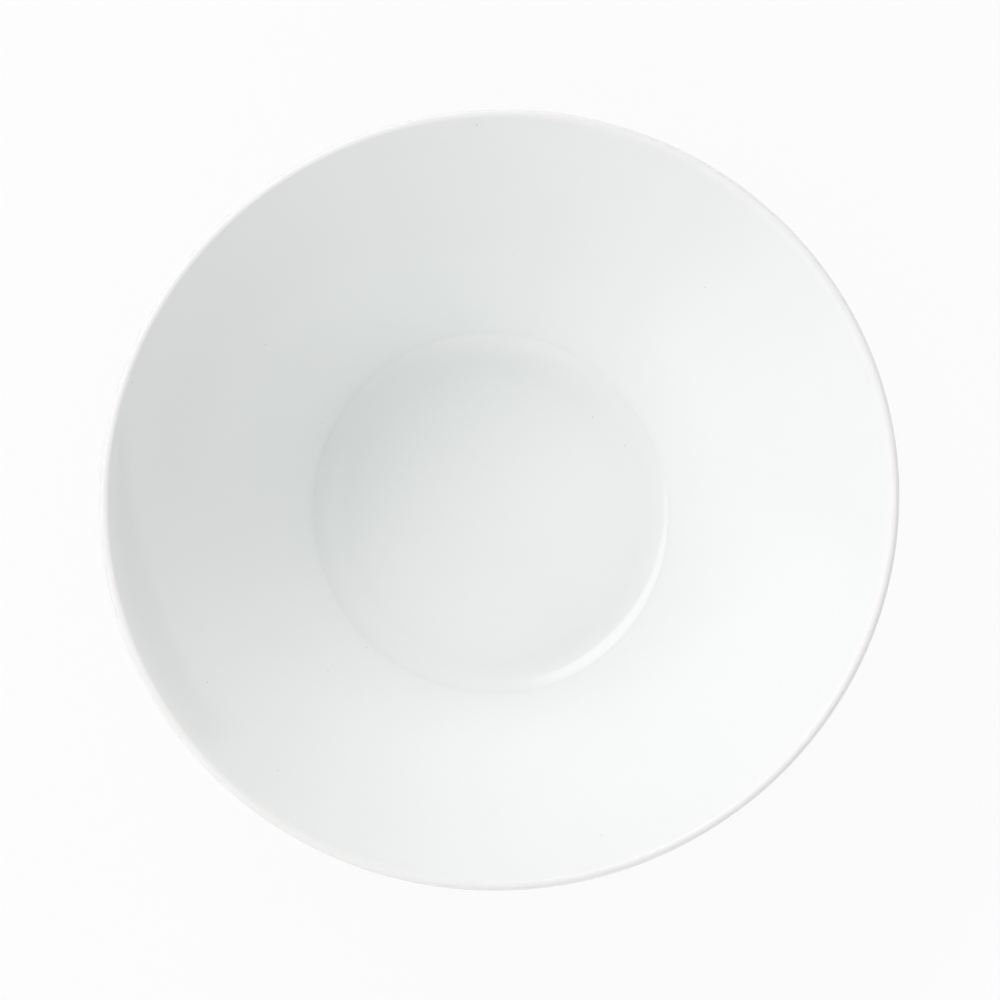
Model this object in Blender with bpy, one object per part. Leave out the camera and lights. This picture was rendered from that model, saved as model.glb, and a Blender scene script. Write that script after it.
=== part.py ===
"""A round white salad bowl: a fired porcelain body, the glaze coat over it, and the glaze under its base.

Metres, +Z up. The origin is on the table under the middle of the rim, and +X runs along the rim's long axis.

One profile of the finished bowl drives every piece. It runs from the middle of the floor out along the floor,
up the wall, over the lip, down the outside and round the foot, with the clay always on its right. The glaze
lies between that profile and its offset into the clay, and the clay lies one bond gap further in. The profile
is turned about Z, and each ring of points is then drawn out into an oval.
"""

from math import asin, atan2, ceil, cos, hypot, pi, radians, sin, tan

import bmesh
import bpy
from mathutils import Vector

# Overall sizes of the finished bowl
HEIGHT = 0.082
RIM_LONG = 0.2840           # outside diameter of the rim along X
RIM_SHORT = 0.2764          # outside diameter of the rim along Y
WELL_LONG = 0.1344          # diameter of the crease round the well along Y
WELL_SHORT = 0.1316         # diameter of the crease round the well along X

# Wall, lip and floor
LIP_THICKNESS = 0.0038
WALL_THICKNESS = 0.0050     # across the wall at the crease, from where it thins towards the lip
FLOOR_THICKNESS = 0.0055
MARGIN_RADIUS = 0.0220      # the floor's edge turns up on this radius before it meets the wall
MARGIN_SLOPE = radians(27)
MARGIN_FLAT = 0.0026        # straight stretch between that turn and the crease
CREASE_RADIUS = 0.0006

# Foot ring
FOOT_INSET = 0.0030         # the foot's outer face stands this far inside the crease
FOOT_WIDTH = 0.0055
FOOT_RECESS = 0.0055        # height of the glazed underside above the table
FOOT_DRAFT = radians(5)
FOOT_EDGE = 0.0008          # rounding of the bare standing edge
FOOT_FILLET = 0.0025        # hollow between the outside wall and the foot
RECESS_FILLET = 0.0025

# Glaze
GLAZE = 0.00035             # thickness of the fired coat
GLAZE_LINE = 0.0018         # the foot is wiped bare below this height
BOND_GAP = 0.0003           # clearance between the glaze and the clay

# Facets
SEGMENTS = 64
ARC_STEP = radians(23)
LONGEST_RUN = 0.025         # a longer straight stretch of the profile is divided
WELD = 1e-6
SHARP_EDGE = radians(30)    # an edge that turns more than this is shaded as a corner


def heading(angle):
    """Unit vector in the profile's plane at an angle from the outward radius."""
    return Vector((cos(angle), sin(angle)))


def right_of(direction):
    """Unit normal on the clay's side of a direction of travel."""
    return Vector((direction.y, -direction.x))


def crossing(start, direction, other_start, other_direction):
    """Point where two lines of the profile's plane cross."""
    reach = (other_start - start).cross(other_direction) / direction.cross(other_direction)
    return start + reach * direction


def at_height(start, direction, height):
    """Point of a line at a given height."""
    return start + (height - start.y) / direction.y * direction


def finished_profile():
    """Corners of the finished bowl as (point, rounding), in the three stretches that the glaze lines part.

    They are the coated stretch, the foot's bare standing edge and the glazed underside.
    """
    rim_radius = (RIM_LONG + RIM_SHORT) / 4
    well_radius = (WELL_LONG + WELL_SHORT) / 4
    floor = FOOT_RECESS + FLOOR_THICKNESS

    # The floor's turned-up margin ends at the crease.
    margin = heading(MARGIN_SLOPE)
    margin_run = MARGIN_RADIUS * tan(MARGIN_SLOPE / 2) + MARGIN_FLAT
    turn_up = Vector((well_radius - margin_run * margin.x, floor))
    crease = turn_up + margin_run * margin

    # Both faces of the wall are tangent to the lip's round.
    lip_radius = LIP_THICKNESS / 2
    lip = Vector((rim_radius - lip_radius, HEIGHT - lip_radius))
    span = lip - crease
    inner_slope = atan2(span.y, span.x) + asin(lip_radius / span.length)
    inner = heading(inner_slope)
    outer_start = crease + WALL_THICKNESS * right_of(inner)
    span = lip - outer_start
    outer_slope = atan2(span.y, span.x) - asin(lip_radius / span.length)
    outer = heading(outer_slope)
    tip = heading((inner_slope + outer_slope) / 2)
    lip_inside = crossing(crease, inner, lip + lip_radius * tip, right_of(tip))
    lip_outside = crossing(outer_start, outer, lip + lip_radius * tip, right_of(tip))

    # The foot would stand one glaze thickness lower if it weren't wiped bare.
    standing = -GLAZE
    side = heading(pi / 2 - FOOT_DRAFT)
    foot_top = crossing(outer_start, outer, Vector((well_radius - FOOT_INSET, FOOT_RECESS)), side)
    foot_outside = at_height(foot_top, side, standing)
    foot_inside = foot_outside - Vector((FOOT_WIDTH, 0))
    inner_side = heading(pi / 2 + FOOT_DRAFT)
    outer_line = at_height(foot_top, side, GLAZE_LINE)
    inner_line = at_height(foot_inside, inner_side, GLAZE_LINE)
    coated = [
        (Vector((0, floor)), 0),
        (turn_up, MARGIN_RADIUS),
        (crease, CREASE_RADIUS),
        (lip_inside, lip_radius),
        (lip_outside, lip_radius),
        (foot_top, FOOT_FILLET),
        (outer_line, 0),
    ]
    bare = [
        (outer_line, 0),
        (foot_outside, FOOT_EDGE + GLAZE),
        (foot_inside, FOOT_EDGE + GLAZE),
        (inner_line, 0),
    ]
    underside = [
        (inner_line, 0),
        (at_height(foot_inside, inner_side, FOOT_RECESS), RECESS_FILLET),
        (Vector((0, FOOT_RECESS)), 0),
    ]
    return coated, bare, underside


def directions(corners):
    """Unit directions of travel along the edges of a list of corners."""
    return [(after - before).normalized() for (before, _), (after, _) in zip(corners, corners[1:])]


def sunk(corners, depth):
    """The same corners moved into the clay: hollow roundings grow by the depth, and proud ones shrink."""
    travel = directions(corners)
    moved = []
    for (point, rounding), arriving, leaving in zip(corners, travel[:1] + travel, travel + travel[-1:]):
        normals = right_of(arriving), right_of(leaving)
        shift = depth * (normals[0] + normals[1]) / (1 + normals[0].dot(normals[1]))
        if rounding:
            rounding += depth if arriving.cross(leaving) > 0 else -depth
        moved.append((point + shift, rounding))
    return moved


def arc(corner, arriving, leaving, radius):
    """Points of the arc that rounds a corner."""
    turn = atan2(arriving.cross(leaving), arriving.dot(leaving))
    side = 1 if turn > 0 else -1
    start = corner - radius * tan(abs(turn) / 2) * arriving
    centre = start - side * radius * right_of(arriving)
    steps = max(2, ceil(abs(turn) / ARC_STEP))
    first = atan2(start.y - centre.y, start.x - centre.x)
    return [centre + radius * heading(first + turn * step / steps) for step in range(steps + 1)]


def rounded(corners):
    """Points along the corners with each rounding drawn as an arc and long straight runs divided."""
    travel = directions(corners)
    points = [corners[0][0]]
    for (corner, radius), arriving, leaving in zip(corners[1:-1], travel, travel[1:]):
        points += arc(corner, arriving, leaving, radius) if radius else [corner]
    points.append(corners[-1][0])
    path = points[:1]
    for before, after in zip(points, points[1:]):
        runs = ceil((after - before).length / LONGEST_RUN)
        path += [before.lerp(after, run / runs) for run in range(1, runs + 1)]
    return path


def drawn_oval(point):
    """Turns a point of the round bowl into its place on the oval one.

    Each ring becomes an ellipse. The well is longer along Y and the rim along X, and the rings of the wall
    pass evenly from the one to the other.
    """
    rim_radius, rim_swell = (RIM_LONG + RIM_SHORT) / 4, (RIM_LONG - RIM_SHORT) / 4
    well_radius, well_swell = (WELL_LONG + WELL_SHORT) / 4, (WELL_SHORT - WELL_LONG) / 4
    radius = hypot(point.x, point.y)
    if radius < well_radius:
        stretch = well_swell / well_radius
    else:
        share = (radius - well_radius) / (rim_radius - well_radius)
        stretch = (well_swell + share * (rim_swell - well_swell)) / radius
    return Vector((point.x * (1 + stretch), point.y * (1 - stretch), point.z))


def finish(name, colour, roughness):
    """Plain material of one piece."""
    material = bpy.data.materials.new(name)
    material.use_nodes = True
    shader = material.node_tree.nodes["Principled BSDF"]
    shader.inputs["Base Color"].default_value = (*colour, 1)
    shader.inputs["Roughness"].default_value = roughness
    shader.inputs["Metallic"].default_value = 0
    return material


def turned_piece(name, outline, material, parent):
    """Object made by turning an outline, open at the axis, about Z and drawing its rings into ovals."""
    shape = bmesh.new()
    points = [shape.verts.new((point.x, 0, point.y)) for point in outline]
    edges = [shape.edges.new(ends) for ends in zip(points, points[1:])]
    bmesh.ops.spin(shape, geom=points + edges, cent=(0, 0, 0), axis=(0, 0, 1), angle=2 * pi, steps=SEGMENTS)
    bmesh.ops.remove_doubles(shape, verts=shape.verts, dist=WELD)
    for vertex in shape.verts:
        vertex.co = drawn_oval(vertex.co)
    bmesh.ops.recalc_face_normals(shape, faces=shape.faces)
    mesh = bpy.data.meshes.new(name)
    shape.to_mesh(mesh)
    shape.free()
    mesh.shade_smooth()
    mesh.set_sharp_from_angle(angle=SHARP_EDGE)
    mesh.materials.append(material)
    piece = bpy.data.objects.new(name, mesh)
    piece.parent = parent
    bpy.context.scene.collection.objects.link(piece)


def porcelain_body(coated, bare, underside, parent):
    """The fired clay: wall, floor and foot, with the foot's standing edge left bare."""
    outline = rounded(sunk(coated, GLAZE + BOND_GAP))
    outline += rounded(sunk(bare, GLAZE))
    outline += rounded(sunk(underside, GLAZE + BOND_GAP))
    turned_piece("porcelain_body", outline, finish("bare_porcelain", (0.80, 0.79, 0.75), 0.75), parent)


def glaze_coat(coated, parent):
    """The coat over the inside, the lip and the outside, down to the glaze line on the foot."""
    outline = rounded(coated) + rounded(sunk(coated, GLAZE))[::-1]
    turned_piece("glaze_coat", outline, finish("white_glaze", (0.84, 0.85, 0.84), 0.06), parent)


def base_glaze(underside, parent):
    """The island of glaze on the recessed underside within the foot."""
    outline = rounded(sunk(underside, GLAZE))[::-1] + rounded(underside)
    turned_piece("base_glaze", outline, finish("underside_glaze", (0.82, 0.83, 0.82), 0.12), parent)


def main():
    for old in list(bpy.data.objects):
        bpy.data.objects.remove(old)
    bowl = bpy.data.objects.new("salad_bowl", None)
    bpy.context.scene.collection.objects.link(bowl)
    coated, bare, underside = finished_profile()
    porcelain_body(coated, bare, underside, bowl)
    glaze_coat(coated, bowl)
    base_glaze(underside, bowl)


main()
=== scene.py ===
"""Looks of the white salad bowl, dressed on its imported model.

Metres, +Z up, in the row frame: the bowl stands on Z = 0 and the rim's long axis runs along X. A profile
is an array of complex numbers r + iz in the half-plane beside the axis. It runs from the middle of the
floor out along the floor, up the wall, over the lip, down the outside and round the foot, with the clay on
its right.
"""

import bpy
import numpy as np
from mathutils import Matrix, Vector


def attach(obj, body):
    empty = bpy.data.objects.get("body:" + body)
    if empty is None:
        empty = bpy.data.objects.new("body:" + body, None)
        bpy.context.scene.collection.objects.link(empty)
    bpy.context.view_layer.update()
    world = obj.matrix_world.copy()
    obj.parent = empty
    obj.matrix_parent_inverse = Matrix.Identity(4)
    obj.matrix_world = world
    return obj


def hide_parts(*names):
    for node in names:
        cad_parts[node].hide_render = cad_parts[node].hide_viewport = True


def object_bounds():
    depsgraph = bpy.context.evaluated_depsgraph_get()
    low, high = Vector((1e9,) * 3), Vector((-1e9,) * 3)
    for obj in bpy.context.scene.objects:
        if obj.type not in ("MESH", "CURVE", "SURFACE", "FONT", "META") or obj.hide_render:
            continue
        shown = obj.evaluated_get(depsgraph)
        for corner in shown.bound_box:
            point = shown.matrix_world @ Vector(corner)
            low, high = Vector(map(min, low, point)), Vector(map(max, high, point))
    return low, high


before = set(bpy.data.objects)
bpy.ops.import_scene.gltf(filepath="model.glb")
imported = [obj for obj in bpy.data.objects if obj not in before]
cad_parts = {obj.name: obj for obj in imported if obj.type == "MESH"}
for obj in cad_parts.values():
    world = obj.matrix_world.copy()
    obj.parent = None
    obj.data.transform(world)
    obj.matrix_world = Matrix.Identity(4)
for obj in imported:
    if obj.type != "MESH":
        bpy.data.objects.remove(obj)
CAD_LOW, CAD_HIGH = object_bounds()

# Sizes that the frame gives
RIM_LONG, RIM_SHORT, HEIGHT = CAD_HIGH - CAD_LOW

# Sizes of the finished profile
WELL_LONG, WELL_SHORT = 0.1344, 0.1316
LIP_THICKNESS = 0.0038
WALL_THICKNESS = 0.0050
FLOOR_THICKNESS = 0.0055
MARGIN_RISE = 0.00358
MARGIN_RADIUS, MARGIN_SLOPE = 0.0172, np.radians(24.5)
SWELL_RADIUS, SWELL_SLOPE, SWELL_RUN = 0.0655, np.radians(28.2), 0.0022
CREASE_RADIUS = 0.0006
CURL_RADIUS, CURL_TURN, CURL_RUN = 0.080, np.radians(1.0), 0.0024
FOOT_INSET, FOOT_WIDTH, FOOT_RECESS = 0.0030, 0.0055, 0.0055
FOOT_DRAFT = np.radians(5)
FOOT_EDGE, FOOT_FILLET, RECESS_FILLET = 0.0008, 0.0025, 0.0025
GLAZE, GLAZE_LINE, BOND_GAP = 0.00035, 0.0018, 0.0003
GLAZE_BEAD = 0.45 * GLAZE

RIM_RADIUS, RIM_SWELL = (RIM_LONG + RIM_SHORT) / 4, (RIM_LONG - RIM_SHORT) / 4
WELL_RADIUS, WELL_SWELL = (WELL_LONG + WELL_SHORT) / 4, (WELL_SHORT - WELL_LONG) / 4
FLOOR_HEIGHT = FOOT_RECESS + FLOOR_THICKNESS

# Fineness of the surfaces: seen sides, then sides that lie against the clay
SEGMENTS = 360
FINE_SPACING, FINE_TURN = 0.0030, np.radians(4)
HIDDEN_SPACING, HIDDEN_TURN = 0.0120, np.radians(12)
LEAST_POINTS = 4            # on any straight run, its ends counted
WELD = 1e-7

# Camera of the photograph, aimed at the middle of the rim
CAMERA_DISTANCE = 1.325
CAMERA_LENS, SENSOR = 135.05, 36.0
CAMERA_LEAN, LEAN_TOWARDS = np.radians(6.332), np.radians(-144.36)
CAMERA_ROLL = np.radians(18.874)
CAMERA_AIM = Vector((-0.00112, -0.00099, HEIGHT - LIP_THICKNESS / 2))


def heading(angle):
    """Unit step in the profile's plane at an angle from the outward radius."""
    return np.exp(1j * angle)


def cross(first, second):
    """Cross product of two steps, positive where the second turns left of the first."""
    return (np.conj(first) * second).imag


def crossing(start, step, other_start, other_step):
    """Point where two lines of the profile's plane cross."""
    return start + cross(other_start - start, other_step) / cross(step, other_step) * step


def at_height(start, step, height):
    """Point of a line at a given height."""
    return start + (height - start.imag) / step.imag * step


def finished_stretches():
    """Corners and roundings of the finished bowl: the coated stretch, the bare foot and the glazed underside.

    The floor's margin turns up to one slope and swells to a second on its way to the crease. Both faces of
    the wall are tangents to the lip's round, the inner one from the crease and the outer one from the point
    a wall's thickness below it. Just below the lip the inner face curls up a little. The foot's sides are
    straight lines at the draft's angle.
    """
    crease = WELL_RADIUS + 1j * (FLOOR_HEIGHT + MARGIN_RISE)
    swell = crease - SWELL_RUN * heading(SWELL_SLOPE)
    turn_up = at_height(swell, heading(MARGIN_SLOPE), FLOOR_HEIGHT)
    lip_radius = LIP_THICKNESS / 2
    lip = RIM_RADIUS - lip_radius + 1j * (HEIGHT - lip_radius)
    inner_slope = np.angle(lip - crease) + np.arcsin(lip_radius / abs(lip - crease))
    outer_start = crease - 1j * WALL_THICKNESS * heading(inner_slope)
    outer_slope = np.angle(lip - outer_start) - np.arcsin(lip_radius / abs(lip - outer_start))
    curled = heading(inner_slope + CURL_TURN)
    curl = lip + 1j * lip_radius * curled - CURL_RUN * curled
    tip = heading((inner_slope + CURL_TURN + outer_slope) / 2)
    lip_inside = crossing(curl, curled, lip + lip_radius * tip, -1j * tip)
    lip_outside = crossing(outer_start, heading(outer_slope), lip + lip_radius * tip, -1j * tip)

    side, inner_side = heading(np.pi / 2 - FOOT_DRAFT), heading(np.pi / 2 + FOOT_DRAFT)
    foot_top = crossing(outer_start, heading(outer_slope), WELL_RADIUS - FOOT_INSET + 1j * FOOT_RECESS, side)
    foot_outside = at_height(foot_top, side, -GLAZE)
    foot_inside = foot_outside - FOOT_WIDTH
    outer_line = at_height(foot_top, side, GLAZE_LINE)
    inner_line = at_height(foot_inside, inner_side, GLAZE_LINE)
    recess = at_height(foot_inside, inner_side, FOOT_RECESS)
    edge = FOOT_EDGE + GLAZE
    coated = (
        [1j * FLOOR_HEIGHT, turn_up, swell, crease, curl, lip_inside, lip_outside, foot_top, outer_line],
        [0, MARGIN_RADIUS, SWELL_RADIUS, CREASE_RADIUS, CURL_RADIUS, lip_radius, lip_radius, FOOT_FILLET, 0],
    )
    bare = [outer_line, foot_outside, foot_inside, inner_line], [0, edge, edge, 0]
    underside = [inner_line, recess, 1j * FOOT_RECESS], [0, RECESS_FILLET, 0]
    return [tuple(map(np.array, stretch)) for stretch in (coated, bare, underside)]


def sunk(stretch, depth):
    """A stretch moved into the clay along its mitres.

    Hollow roundings grow by the depth, and proud ones shrink by it.
    """
    corners, roundings = stretch
    steps = np.diff(corners) / abs(np.diff(corners))
    arriving, leaving = np.append(steps[:1], steps), np.append(steps, steps[-1:])
    mitre = -1j * (arriving + leaving) / (1 + (np.conj(arriving) * leaving).real)
    growth = np.where(roundings > 0, np.sign(cross(arriving, leaving)), 0)
    return corners + depth * mitre, roundings + depth * growth


def eased(start, end, spacing):
    """Points between two ends at cosine steps, about a spacing apart midway and closer at both ends."""
    count = LEAST_POINTS + int(abs(end - start) / spacing)
    return start + (1 - np.cos(np.linspace(0, np.pi, count))) / 2 * (end - start)


def rounded(stretch, spacing, turn_step):
    """Points along a stretch: each rounded corner is an arc in equal turns, each straight run is eased."""
    corners, roundings = stretch
    steps = np.diff(corners) / abs(np.diff(corners))
    bends = [corners[:1]]
    for corner, radius, arriving, leaving in zip(corners[1:-1], roundings[1:-1], steps, steps[1:]):
        turn = np.angle(leaving / arriving)
        start = corner - radius * np.tan(abs(turn) / 2) * arriving
        centre = start + 1j * np.sign(turn) * radius * arriving
        turned_by = np.linspace(0, turn, 2 + int(abs(turn) / turn_step))
        bends.append(centre + (start - centre) * heading(turned_by))
    bends.append(corners[-1:])
    path = [bends[0]]
    for before, after in zip(bends, bends[1:]):
        path += [eased(before[-1], after[0], spacing), after]
    path = np.concatenate(path)
    return path[np.append(True, abs(np.diff(path)) > WELD)]


def beaded(stretch):
    """A stretch whose last corner turns into the clay over the glaze's edge, in a small round bead."""
    corners, roundings = stretch
    return np.append(corners, sunk(stretch, GLAZE)[0][-1]), np.append(roundings[:-1], [GLAZE_BEAD, 0])


def oval(radius, angle):
    """Place in plan of a point of the round bowl.

    Each ring is an ellipse with semi-axes r + s and r - s. Within the crease s is a fixed share of r. From
    the crease to the rim it passes evenly from the well's swell, which lies along Y, to the rim's, along X.
    """
    share = (radius - WELL_RADIUS) / (RIM_RADIUS - WELL_RADIUS)
    within = WELL_SWELL * radius / WELL_RADIUS
    swell = np.where(radius < WELL_RADIUS, within, WELL_SWELL + share * (RIM_SWELL - WELL_SWELL))
    return (radius + swell) * np.cos(angle), (radius - swell) * np.sin(angle)


def meshed(name, points, faces):
    """Smooth mesh object at the origin from an array of points and a list of faces."""
    mesh = bpy.data.meshes.new(name)
    mesh.from_pydata(points, [], faces)
    mesh.shade_smooth()
    piece = bpy.data.objects.new(name, mesh)
    bpy.context.scene.collection.objects.link(piece)
    return piece


def ring_faces(rings):
    """Four-sided faces between rings of points, each closed where its last point meets its first."""
    here = np.arange(SEGMENTS)
    beside = (here + 1) % SEGMENTS
    ring = np.arange(rings - 1)[:, None] * SEGMENTS
    next_ring = ring + SEGMENTS
    corners = [ring + here, next_ring + here, next_ring + beside, ring + beside]
    return np.stack(corners, axis=-1).reshape(-1, 4).tolist()


def turned(name, profile):
    """Closed surface swept round the axis by a profile that starts and ends there.

    Ring i at angle a lies at oval(r_i, a) in plan and at height z_i. Each end is one point, with a fan of
    faces about it.
    """
    angle = np.linspace(0, 2 * np.pi, SEGMENTS, endpoint=False)
    rings = profile[1:-1, None]
    x, y = oval(rings.real, angle)
    points = np.stack([x, y, np.broadcast_to(rings.imag, x.shape)], axis=-1).reshape(-1, 3)
    poles = np.array([[0, 0, profile[0].imag], [0, 0, profile[-1].imag]])
    here = np.arange(SEGMENTS)
    beside = (here + 1) % SEGMENTS
    last = len(points) - SEGMENTS
    first_fan = np.stack([np.full(SEGMENTS, len(points)), here, beside], axis=-1)
    last_fan = np.stack([np.full(SEGMENTS, len(points) + 1), last + beside, last + here], axis=-1)
    faces = [*ring_faces(len(rings)), *first_fan.tolist(), *last_fan.tolist()]
    return meshed(name, np.concatenate([points, poles]), faces)


class Value:
    """A number that a shader works out at every point. Arithmetic on it adds Math nodes."""

    def __init__(self, recipe, socket):
        self.recipe, self.socket = recipe, socket

    def math(self, operation, *terms):
        return self.recipe.node("ShaderNodeMath", {"operation": operation}, dict(enumerate(terms)))

    def __add__(self, other):
        return self.math("ADD", self, other)

    def __sub__(self, other):
        return self.math("SUBTRACT", self, other)

    def __rsub__(self, other):
        return self.math("SUBTRACT", other, self)

    def __mul__(self, other):
        return self.math("MULTIPLY", self, other)

    def __truediv__(self, other):
        return self.math("DIVIDE", self, other)

    def __pow__(self, other):
        return self.math("POWER", self, other)

    __radd__, __rmul__ = __add__, __mul__


class Recipe:
    """Node tree of a finish or of the sky, built from expressions."""

    def __init__(self, tree):
        self.tree = tree

    def node(self, kind, settings, inputs, output=0):
        """Adds a node of a kind, applies its settings, fills or links its sockets and gives one output."""
        node = self.tree.nodes.new(kind)
        for setting, value in settings.items():
            setattr(node, setting, value)
        for key, value in inputs.items():
            self.feed(node.inputs[key], value)
        return Value(self, node.outputs[output])

    def feed(self, socket, value):
        """Links a worked-out value to a socket, or writes a plain one on it."""
        if isinstance(value, Value):
            self.tree.links.new(value.socket, socket)
        else:
            socket.default_value = value

    def place(self):
        """Object coordinates, as one vector and as three values."""
        point = self.node("ShaderNodeTexCoord", {}, {}, "Object")
        return point, [self.node("ShaderNodeSeparateXYZ", {}, {0: point}, axis) for axis in "XYZ"]

    def noise(self, point, size, detail):
        """Cloudy noise about 0.5, with features of a size in metres."""
        return self.node("ShaderNodeTexNoise", {}, {"Vector": point, "Scale": 1 / size, "Detail": detail})

    def mixed(self, share, first, second):
        """Colour that passes from the first to the second with the share."""
        return self.node("ShaderNodeMix", {"data_type": "RGBA"}, {0: share, 6: first, 7: second}, 2)

    def ramp(self, value, start, end):
        """Smooth passage from 0 at the start to 1 at the end."""
        return self.node("ShaderNodeMapRange", {"interpolation_type": "SMOOTHSTEP"},
                         {"Value": value, "From Min": start, "From Max": end})

    def bell(self, value, middle, width):
        """Bell curve of a value: 1 at its middle, down to 1/e at a width from it."""
        away = (value - middle) / width
        return away.math("EXPONENT", 0 - away * away)

    def flecks(self, point, cell, radius):
        """1 within round flecks of a radius, scattered one to a cell of space, and 0 between them."""
        reach = self.node("ShaderNodeTexVoronoi", {}, {"Vector": point, "Scale": 1 / cell}, "Distance")
        return 1 - self.ramp(reach * cell, radius / 2, radius)

    def rings(self, distance, spacing, wander):
        """Wave from -1 to 1 over rings a spacing apart, shifted by a wandering phase."""
        phase = distance * (2 * np.pi / spacing) + wander
        return phase.math("SINE", phase)

    def relief(self, height):
        """Normal of a surface raised by a height in metres."""
        return self.node("ShaderNodeBump", {}, {"Height": height, "Distance": 1.0})


def opaque(red, green, blue):
    """Colour with full alpha."""
    return red, green, blue, 1


def new_finish(name):
    """Material with a Principled shader, its recipe and that shader's sockets."""
    material = bpy.data.materials.new(name)
    material.use_nodes = True
    return material, Recipe(material.node_tree), material.node_tree.nodes["Principled BSDF"].inputs


# Glaze: colours, then the size of each mark and how strongly it shows
GLAZE_WHITE, GLAZE_COOL = opaque(0.873, 0.904, 0.894), opaque(0.865, 0.900, 0.889)
GLAZE_POOLED, GLAZE_THIN = opaque(0.832, 0.872, 0.856), opaque(0.893, 0.897, 0.884)
IRON_SPECK = opaque(0.30, 0.27, 0.22)
CLOUD_SIZE, CLOUD_DETAIL, CLOUD_START, CLOUD_END = 0.060, 3.0, 0.3, 0.7
POOL_WIDTH, POOL_STRENGTH = 0.0012, 0.5
THIN_STRENGTH = 0.6
SPECK_CELL, SPECK_RADIUS, SPECK_STRENGTH = 0.014, 0.00028, 0.7
WAVE_SIZE, WAVE_DETAIL, WAVE_HEIGHT = 0.030, 4.0, 0.000005
PEEL_SIZE, PEEL_DETAIL, PEEL_HEIGHT = 0.0035, 2.0, 0.0000003
GLAZE_ROUGHNESS, ROUGHNESS_SPREAD = 0.012, 0.020
TURNING_SPACING, TURNING_HEIGHT = 0.0024, 0.000006
TURNING_WANDER, WANDER_DETAIL = 5.0, 2.0


def clouded_white(recipe, point):
    """White glaze with faint broad clouds of a cooler white."""
    clouds = recipe.ramp(recipe.noise(point, CLOUD_SIZE, CLOUD_DETAIL), CLOUD_START, CLOUD_END)
    return recipe.mixed(clouds, GLAZE_WHITE, GLAZE_COOL)


def specked(recipe, point, colour):
    """A colour with a few small iron specks."""
    return recipe.mixed(recipe.flecks(point, SPECK_CELL, SPECK_RADIUS) * SPECK_STRENGTH, colour, IRON_SPECK)


def glaze_skin(recipe, point):
    """Roughness with faint hazy patches, and the height of a skin with long low waves and a fine peel."""
    haze = recipe.noise(point, WAVE_SIZE, WAVE_DETAIL)
    height = haze * WAVE_HEIGHT + recipe.noise(point, PEEL_SIZE, PEEL_DETAIL) * PEEL_HEIGHT
    return GLAZE_ROUGHNESS + ROUGHNESS_SPREAD * haze, height


def white_glaze():
    """Glossy white glaze of the bowl, greener where it pools in the crease, thinner and warmer over the lip.

    The crease lies where the ellipse of the well, (x / a)^2 + (y / b)^2, is 1.
    """
    material, recipe, shader = new_finish("white_glaze")
    point, (x, y, z) = recipe.place()
    well_share = ((x / (WELL_SHORT / 2)) ** 2 + (y / (WELL_LONG / 2)) ** 2) ** 0.5
    inside = recipe.ramp(z, FLOOR_HEIGHT - GLAZE, FLOOR_HEIGHT)
    pooled = recipe.bell(well_share * WELL_RADIUS, WELL_RADIUS, POOL_WIDTH) * inside
    colour = recipe.mixed(pooled * POOL_STRENGTH, clouded_white(recipe, point), GLAZE_POOLED)
    thin = recipe.ramp(z, HEIGHT - LIP_THICKNESS / 2, HEIGHT)
    colour = recipe.mixed(thin * THIN_STRENGTH, colour, GLAZE_THIN)
    roughness, height = glaze_skin(recipe, point)
    recipe.feed(shader["Base Color"], specked(recipe, point, colour))
    recipe.feed(shader["Roughness"], roughness)
    recipe.feed(shader["Normal"], recipe.relief(height))
    return material


def underside_glaze():
    """The same glaze within the foot, over rings that turning left in the clay, pooled along the recess."""
    material, recipe, shader = new_finish("underside_glaze")
    point, (x, y, z) = recipe.place()
    pooled = 1 - recipe.ramp(z, FOOT_RECESS - RECESS_FILLET, FOOT_RECESS)
    colour = recipe.mixed(pooled * POOL_STRENGTH, clouded_white(recipe, point), GLAZE_POOLED)
    roughness, height = glaze_skin(recipe, point)
    wander = recipe.noise(point, WAVE_SIZE, WANDER_DETAIL) * TURNING_WANDER
    turning = recipe.rings((x * x + y * y) ** 0.5, TURNING_SPACING, wander)
    recipe.feed(shader["Base Color"], specked(recipe, point, colour))
    recipe.feed(shader["Roughness"], roughness)
    recipe.feed(shader["Normal"], recipe.relief(height + turning * TURNING_HEIGHT))
    return material


# Bare clay: colours, then the size of each mark and how strongly it shows
CLAY_PALE, CLAY_WARM = opaque(0.79, 0.775, 0.73), opaque(0.74, 0.715, 0.655)
CLAY_RUBBED, CLAY_GRIT = opaque(0.60, 0.585, 0.55), opaque(0.35, 0.31, 0.26)
BLOTCH_SIZE, BLOTCH_DETAIL, BLOTCH_START, BLOTCH_END = 0.006, 4.0, 0.35, 0.75
GRAIN_SIZE, GRAIN_DETAIL, GRAIN_HEIGHT = 0.0005, 3.0, 0.00002
GRIND_SPACING, GRIND_HEIGHT, GRIND_WANDER = 0.0006, 0.000015, 3.0
RUBBED_HEIGHT, RUBBED_START, RUBBED_END, RUBBED_STRENGTH = 0.0007, 0.4, 0.65, 0.5
GRIT_CELL, GRIT_RADIUS, GRIT_STRENGTH = 0.0022, 0.00018, 0.6
CLAY_ROUGHNESS, GRAIN_SPREAD = 0.62, 0.25


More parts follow.
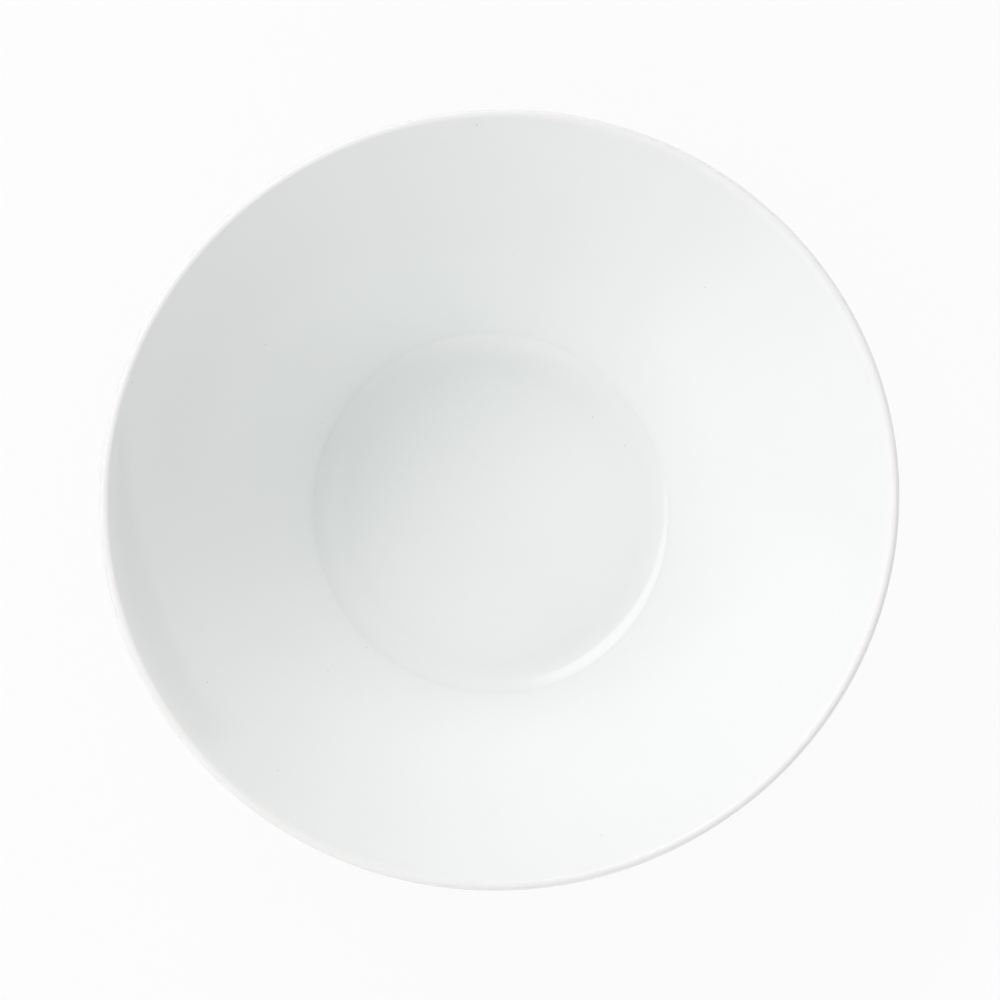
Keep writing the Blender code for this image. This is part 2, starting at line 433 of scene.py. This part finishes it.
def bare_porcelain():
    """Matt unglazed porcelain: warm blotches, fine grain, grit, grinding rings and a rubbed standing edge."""
    material, recipe, shader = new_finish("bare_porcelain")
    point, (x, y, z) = recipe.place()
    blotches = recipe.ramp(recipe.noise(point, BLOTCH_SIZE, BLOTCH_DETAIL), BLOTCH_START, BLOTCH_END)
    grain = recipe.noise(point, GRAIN_SIZE, GRAIN_DETAIL)
    rubbed = (1 - recipe.ramp(z, 0.0, RUBBED_HEIGHT)) * recipe.ramp(grain, RUBBED_START, RUBBED_END)
    colour = recipe.mixed(rubbed * RUBBED_STRENGTH, recipe.mixed(blotches, CLAY_PALE, CLAY_WARM), CLAY_RUBBED)
    grit = recipe.flecks(point, GRIT_CELL, GRIT_RADIUS) * GRIT_STRENGTH
    grinding = recipe.rings((x * x + y * y) ** 0.5, GRIND_SPACING, grain * GRIND_WANDER)
    recipe.feed(shader["Base Color"], recipe.mixed(grit, colour, CLAY_GRIT))
    recipe.feed(shader["Roughness"], CLAY_ROUGHNESS + GRAIN_SPREAD * grain)
    recipe.feed(shader["Normal"], recipe.relief(grain * GRAIN_HEIGHT + grinding * GRIND_HEIGHT))
    return material


def dress(piece, node, material):
    """A finished piece stands for its CAD node and rides on the bowl."""
    piece.data.materials.append(material)
    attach(piece, "root")
    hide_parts(node)


def bowl_pieces():
    """The glaze over the bowl, the clay that shows as a bare foot ring, and the glaze under the foot.

    Each is one closed profile: out along its face and back along the side that lies against the clay.
    """
    coated, bare, underside = finished_stretches()
    fine, hidden = (FINE_SPACING, FINE_TURN), (HIDDEN_SPACING, HIDDEN_TURN)
    coat = [rounded(beaded(coated), *fine), rounded(sunk(coated, GLAZE), *hidden)[-2::-1]]
    body = [
        rounded(sunk(coated, GLAZE + BOND_GAP), *hidden),
        rounded(sunk(bare, GLAZE), *fine),
        rounded(sunk(underside, GLAZE + BOND_GAP), *hidden),
    ]
    below = [rounded(sunk(underside, GLAZE), *hidden)[::-1], rounded(underside, *fine)]
    dress(turned("bowl_glaze", np.concatenate(coat)), "glaze_coat", white_glaze())
    dress(turned("clay", np.concatenate(body)), "porcelain_body", bare_porcelain())
    dress(turned("foot_glaze", np.concatenate(below)), "base_glaze", underside_glaze())


def camera_of_the_photograph():
    """Camera that leans off the vertical over the rim, its picture turned so that X rises to the right."""
    lean = np.sin(CAMERA_LEAN)
    back = Vector((lean * np.cos(LEAN_TOWARDS), lean * np.sin(LEAN_TOWARDS), np.cos(CAMERA_LEAN)))
    right = Vector((np.cos(CAMERA_ROLL), -np.sin(CAMERA_ROLL), 0))
    right = (right - right.dot(back) * back).normalized()
    view = bpy.data.cameras.new("camera")
    view.lens, view.sensor_width = CAMERA_LENS, SENSOR
    camera = bpy.data.objects.new("camera", view)
    bpy.context.scene.collection.objects.link(camera)
    turn = Matrix((right, back.cross(right), back)).transposed().to_4x4()
    camera.matrix_world = Matrix.Translation(CAMERA_AIM + CAMERA_DISTANCE * back) @ turn
    bpy.context.scene.camera = camera


# Studio: a pale sweep, open towards the dark side of the room
SWEEP_FLAT, SWEEP_BEND, SWEEP_RISE, BEND_STEPS = 3.0, 0.5, 0.35, 12
SWEEP_OPENS, SWEEP_OPENING = np.radians(-2), np.radians(27)
OPENING_HEIGHT, OPENING_SLANT = 0.428, -0.275
SWEEP_COLOUR = opaque(0.80, 0.80, 0.80)
OPEN_GLOW, OPEN_SHADE = opaque(0.885, 0.885, 0.885), opaque(0.10, 0.10, 0.10)
UNDER_GLOW, UNDER_SHADE = opaque(0.385, 0.385, 0.385), opaque(0.60, 0.60, 0.60)
UNDER_END, OPEN_START = 0.095, 0.138
FAR_GLOW = opaque(0.62, 0.62, 0.62)
FADE_START, FADE_END = 0.9, 3.2

# Bright panels: azimuth of the middle, half spread and softness of the ends, then the lower and upper
# elevation and their rise per degree of azimuth, all in degrees, and the radiance
PANELS = [
    (117.1, 46, 18.0, 25.0, 34.9, 0.035, 3.39),
    (125.1, 43, 14.0, 34.9, 41.3, 0.035, 2.18),
    (219.1, 27, 0.5, 19.5, 30.0, 0.0, 2.65),
    (23.1, 38, 0.5, 20.0, 28.0, 0.0, 1.335),
    (-3.9, 11, 0.5, 18.0, 28.0, 0.0, 1.40),
    (81.1, 20, 0.5, 3.0, 17.0, 0.0, 2.915),
    (263.1, 50, 18.0, 38.5, 46.0, -0.09, 0.66),
]
PANEL_EDGE = 0.5
PANEL_COLOUR = opaque(1.072, 0.975, 1.006)

# Broad glows: azimuth and elevation of the middle in degrees, narrowness and strength
GLOWS = [
    (1.1, 62, 8, 0.98),
    (251.1, 60, 6, 0.85),
    (101.1, 25, 2, 0.78),
    (191.1, 9, 8, 1.18),
    (251.1, 9, 8, 0.88),
    (71.1, 9, 8, 0.19),
]
GLOW_COLOUR = opaque(0.990, 1.004, 1.000)


def towards(azimuth, elevation):
    """Unit vector at an azimuth from X and an elevation, both in degrees."""
    azimuth, elevation = np.radians(azimuth), np.radians(elevation)
    level = np.cos(elevation)
    return Vector((level * np.cos(azimuth), level * np.sin(azimuth), np.sin(elevation)))


def studio_sweep():
    """Pale floor that bends up all round, seen as white that dims far from the bowl.

    The floor is a disc. Beyond its edge a quarter circle and a straight rise follow the same radius outwards.
    In the opening they stop at a height that falls evenly with the angle. The white is part glow and part
    shade, which takes the bowl's shadow, and under the bowl the shade is the larger part.
    """
    angle = np.linspace(0, 2 * np.pi, SEGMENTS, endpoint=False)
    turn = np.linspace(0, np.pi / 2, BEND_STEPS + 1)
    profile = SWEEP_FLAT + 1j * SWEEP_BEND - 1j * SWEEP_BEND * heading(turn)
    profile = np.append(profile, profile[-1] + 1j * SWEEP_RISE)
    aside = (angle - SWEEP_OPENS + np.pi) % (2 * np.pi) - np.pi
    top = np.where(abs(aside) < SWEEP_OPENING, OPENING_HEIGHT + OPENING_SLANT * aside, np.inf)
    raised = np.minimum(profile.imag[:, None], top)
    rim = profile.real[:, None] * heading(angle)
    points = np.stack([rim.real, rim.imag, raised], axis=-1).reshape(-1, 3)
    faces = [list(range(SEGMENTS)), *ring_faces(len(profile))]
    sweep = meshed("studio_sweep", points, faces)

    material, recipe, _ = new_finish("sweep_paper")
    kinds = "Is Camera Ray", "Is Glossy Ray", "Is Transmission Ray"
    camera, glossy, through = [recipe.node("ShaderNodeLightPath", {}, {}, kind) for kind in kinds]
    seen = camera.math("MINIMUM", camera + glossy + through, 1.0)
    paper = recipe.node("ShaderNodeBsdfDiffuse", {}, {"Color": SWEEP_COLOUR})
    _, (x, y, _) = recipe.place()
    reach = (x * x + y * y) ** 0.5
    clear = recipe.ramp(reach, UNDER_END, OPEN_START)
    bright = recipe.mixed(clear, UNDER_GLOW, OPEN_GLOW)
    bright = recipe.mixed(recipe.ramp(reach, FADE_START, FADE_END), bright, FAR_GLOW)
    glow = recipe.node("ShaderNodeEmission", {}, {"Color": bright})
    shade = recipe.node("ShaderNodeBsdfDiffuse", {}, {"Color": recipe.mixed(clear, UNDER_SHADE, OPEN_SHADE)})
    white = recipe.node("ShaderNodeAddShader", {}, {0: glow, 1: shade})
    surface = recipe.node("ShaderNodeMixShader", {}, {0: seen, 1: paper, 2: white})
    recipe.feed(material.node_tree.nodes["Material Output"].inputs["Surface"], surface)
    sweep.data.materials.append(material)


def studio_room():
    """Light of the room: even panels far off, and broad glows between them.

    A panel is 1 within its spans of azimuth and elevation and 0 outside, with soft edges, and its elevation
    may rise along it. A glow is max(0, d . n) to its narrowness, where d is the direction looked in and n is
    the glow's middle.
    """
    world = bpy.data.worlds.new("room")
    world.use_nodes = True
    bpy.context.scene.world = world
    recipe = Recipe(world.node_tree)
    looking = recipe.node("ShaderNodeTexCoord", {}, {}, "Generated")

    def along(azimuth, elevation):
        axis = towards(azimuth, elevation)
        product = {"operation": "DOT_PRODUCT"}
        return recipe.node("ShaderNodeVectorMath", product, {0: looking, 1: axis}, "Value")

    def within(angle, half, edge):
        start, end = np.radians(half - edge), np.radians(half + edge)
        return 1 - recipe.ramp(angle.math("ABSOLUTE", angle), start, end)

    panels, glows = 0, 0
    for azimuth, spread, softness, lower, upper, tilt, radiance in PANELS:
        ahead, beside, above = along(azimuth, 0), along(azimuth + 90, 0), along(0, 90)
        swing = ahead.math("ARCTAN2", beside, ahead)
        lift = above.math("ARCSINE", above) - np.radians((lower + upper) / 2) - swing * tilt
        across, upright = within(swing, spread, softness), within(lift, (upper - lower) / 2, PANEL_EDGE)
        panels = panels + across * upright * radiance
    for azimuth, elevation, narrowness, strength in GLOWS:
        facing = along(azimuth, elevation)
        glows = glows + facing.math("MAXIMUM", facing, 0.0) ** narrowness * strength
    bright = recipe.node("ShaderNodeBackground", {}, {"Color": PANEL_COLOUR, "Strength": panels})
    broad = recipe.node("ShaderNodeBackground", {}, {"Color": GLOW_COLOUR, "Strength": glows})
    sky = recipe.node("ShaderNodeAddShader", {}, {0: bright, 1: broad})
    recipe.feed(world.node_tree.nodes["World Output"].inputs["Surface"], sky)


camera_of_the_photograph()
bowl_pieces()
studio_sweep()
studio_room()
bpy.context.scene.view_settings.view_transform = "Standard"
